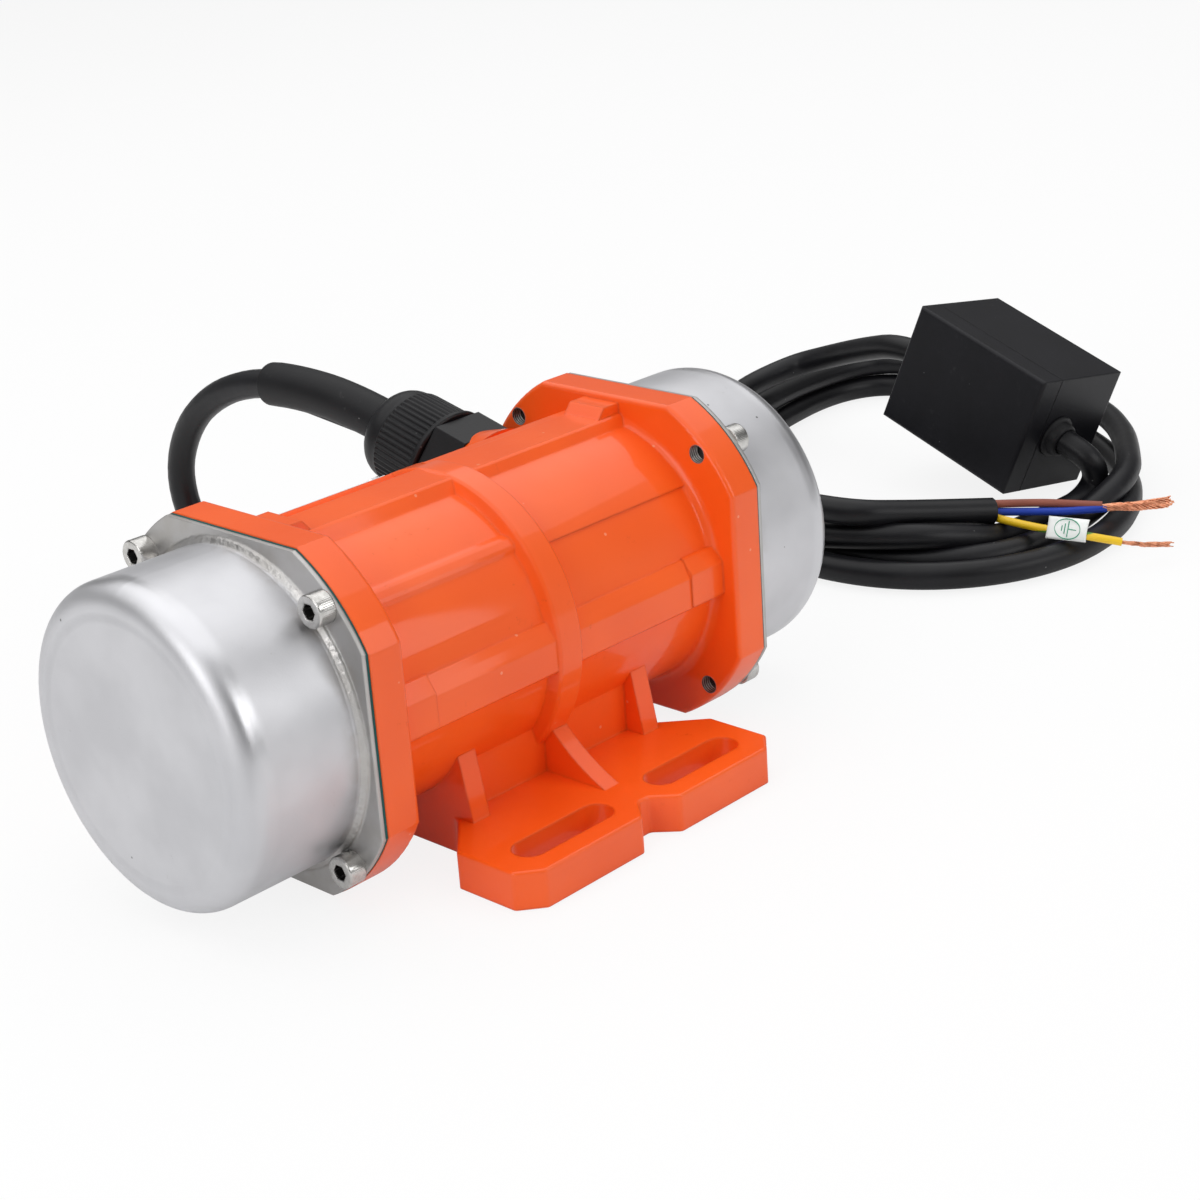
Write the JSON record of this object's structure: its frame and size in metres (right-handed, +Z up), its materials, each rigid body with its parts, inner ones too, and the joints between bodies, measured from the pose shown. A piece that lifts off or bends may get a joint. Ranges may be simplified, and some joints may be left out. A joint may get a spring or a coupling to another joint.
{
  "type": "vibration motor",
  "caption": "Vibration motor with a cast foot-mounted housing, drawn covers over adjustable eccentric weights, and a cable with a capacitor box.",
  "frame": {"origin": "centre of the foot's underside, below the middle of the shaft", "axes": "+X along the shaft towards the rear cover (the gland is in the rear half), +Y towards the gland side, +Z up from the foot"},
  "size_m": [0.4704, 0.2497, 0.0937],
  "materials": {
    "housing_paint": "gloss",
    "cover_stainless": "satin bead-blasted",
    "polished_stainless": "polished",
    "gasket_green": "matt",
    "nameplate_aluminium": "satin",
    "gland_nylon": "matt",
    "sleeve_rubber": "dusty matt",
    "cable_jacket": "satin",
    "case_plastic": "matt",
    "capacitor_body": "matt",
    "core_brown": "satin",
    "core_blue": "satin",
    "core_earth": "satin yellow and green",
    "copper": "bare copper",
    "tag_paper": "matt",
    "machined_iron": "machined",
    "bearing_steel": "ground",
    "cage_steel": "pressed",
    "lamination_steel": "laminated",
    "rotor_aluminium": "cast",
    "shaft_steel": "ground",
    "weight_steel": "flame cut and faced",
    "fastener_steel": "blackened"
  },
  "bodies": {
    "motor": {"housing": "housing_paint", "front_cover": "cover_stainless", "rear_cover": "cover_stainless", "front_gasket": "gasket_green", "rear_gasket": "gasket_green", "cover_screws": "polished_stainless", "nameplate": "nameplate_aluminium", "nameplate_rivets": "nameplate_aluminium", "gland_body": "gland_nylon", "gland_seal": "sleeve_rubber", "gland_nut": "gland_nylon", "cable_sleeve": "sleeve_rubber", "motor_cable": "cable_jacket", "cable_coil": "cable_jacket", "box_lead": "cable_jacket", "supply_lead": "cable_jacket", "supply_tail": "cable_jacket", "capacitor_case": "case_plastic", "capacitor_lid": "case_plastic", "case_grommets": "sleeve_rubber", "run_capacitor": "capacitor_body", "brown_wire": "core_brown", "blue_wire": "core_blue", "earth_wire": "core_earth", "live_strands": "copper", "earth_strands": "copper", "earth_tag": "tag_paper", "front_end_shield": "machined_iron", "rear_end_shield": "machined_iron", "end_shield_screws": "fastener_steel", "front_outer_race": "bearing_steel", "rear_outer_race": "bearing_steel", "bearing_retainers": "fastener_steel", "wave_spring": "fastener_steel", "stator_core": "lamination_steel", "stator_winding": "copper", "lead_wires": "core_earth"},
    "rotor": {"shaft": "shaft_steel", "rotor_core": "lamination_steel", "rotor_cage": "rotor_aluminium", "front_inner_race": "bearing_steel", "rear_inner_race": "bearing_steel", "front_fixed_weight": "weight_steel", "rear_fixed_weight": "weight_steel", "weight_keys": "shaft_steel", "fixed_clamp_bolts": "fastener_steel", "shaft_retainers": "fastener_steel"},
    "front_weight": {"front_adjustable_weight": "weight_steel", "front_adjusting_bolt": "fastener_steel"},
    "rear_weight": {"rear_adjustable_weight": "weight_steel", "rear_adjusting_bolt": "fastener_steel"},
    "front_ball_set": {"front_balls": "bearing_steel", "front_cage": "cage_steel"},
    "rear_ball_set": {"rear_balls": "bearing_steel", "rear_cage": "cage_steel"}
  },
  "joints": [
    {"name": "rotor_spin", "type": "hinge", "parent": "motor", "child": "rotor", "pos_m": [0, 0, 0.0477], "axis": [1, 0, 0], "continuous": true},
    {"name": "front_balls_orbit", "type": "hinge", "parent": "motor", "child": "front_ball_set", "pos_m": [0, 0, 0.0477], "axis": [1, 0, 0], "continuous": true},
    {"name": "rear_balls_orbit", "type": "hinge", "parent": "motor", "child": "rear_ball_set", "pos_m": [0, 0, 0.0477], "axis": [1, 0, 0], "continuous": true},
    {"name": "front_weight_setting", "type": "hinge", "parent": "rotor", "child": "front_weight", "pos_m": [0, 0, 0.0477], "axis": [1, 0, 0], "range_deg": [0, 180]},
    {"name": "rear_weight_setting", "type": "hinge", "parent": "rotor", "child": "rear_weight", "pos_m": [0, 0, 0.0477], "axis": [1, 0, 0], "range_deg": [0, 180]}
  ],
  "couplings": [
    {"joint": "front_balls_orbit", "follows": "rotor_spin", "ratio": 0.3816},
    {"joint": "rear_balls_orbit", "follows": "rotor_spin", "ratio": 0.3816}
  ]
}
